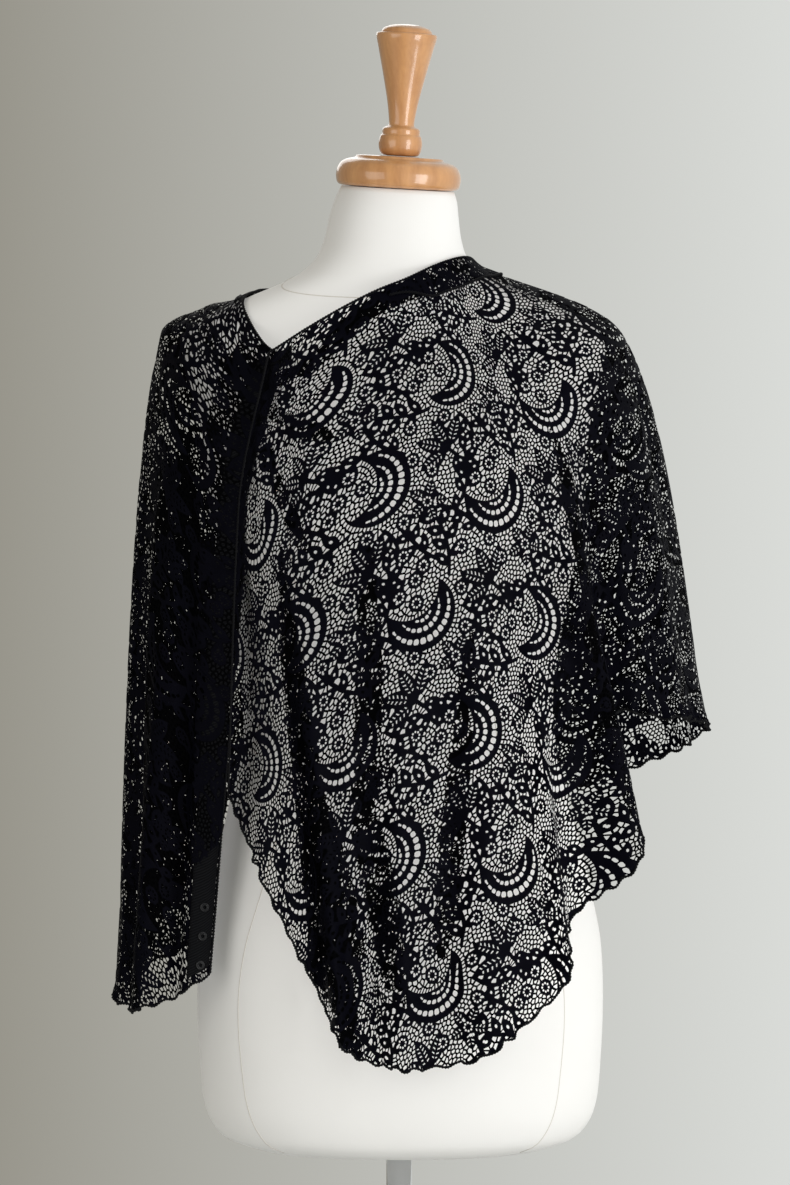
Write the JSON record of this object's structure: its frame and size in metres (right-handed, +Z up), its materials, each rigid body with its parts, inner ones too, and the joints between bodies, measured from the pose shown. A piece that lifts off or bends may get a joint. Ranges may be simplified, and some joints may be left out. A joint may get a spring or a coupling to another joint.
{
  "type": "lace shawl on a dress form",
  "caption": "Floral lace shawl drawn round the neck of a limbless dress form and snapped closed on one shoulder, on a pole stand with a round base.",
  "frame": {"origin": "on the floor at the middle of the round base's underside, under the pole", "axes": "+Z up along the pole, -Y to the front of the form, +X to the right as seen from the front"},
  "size_m": [0.5074, 0.32, 1.3875],
  "materials": {
    "lace": "black stretch lace with a faint blue sheen",
    "tape": "dark grey twill tape",
    "stud": "black snap plastic",
    "jersey": "off-white stretched jersey",
    "wood": "honey lacquer",
    "chrome": "polished"
  },
  "bodies": {
    "root": {"shawl_front": "lace", "shawl_right": "lace", "shawl_back": "lace", "shawl_left": "lace", "neck_fold": "lace", "snap_tape": "tape", "corner_tape": "tape", "stud_1": "stud", "stud_2": "stud", "stud_3": "stud", "form_torso": "jersey", "neck_cap": "wood", "finial": "wood", "pole": "chrome", "base": "chrome"}
  },
  "joints": []
}
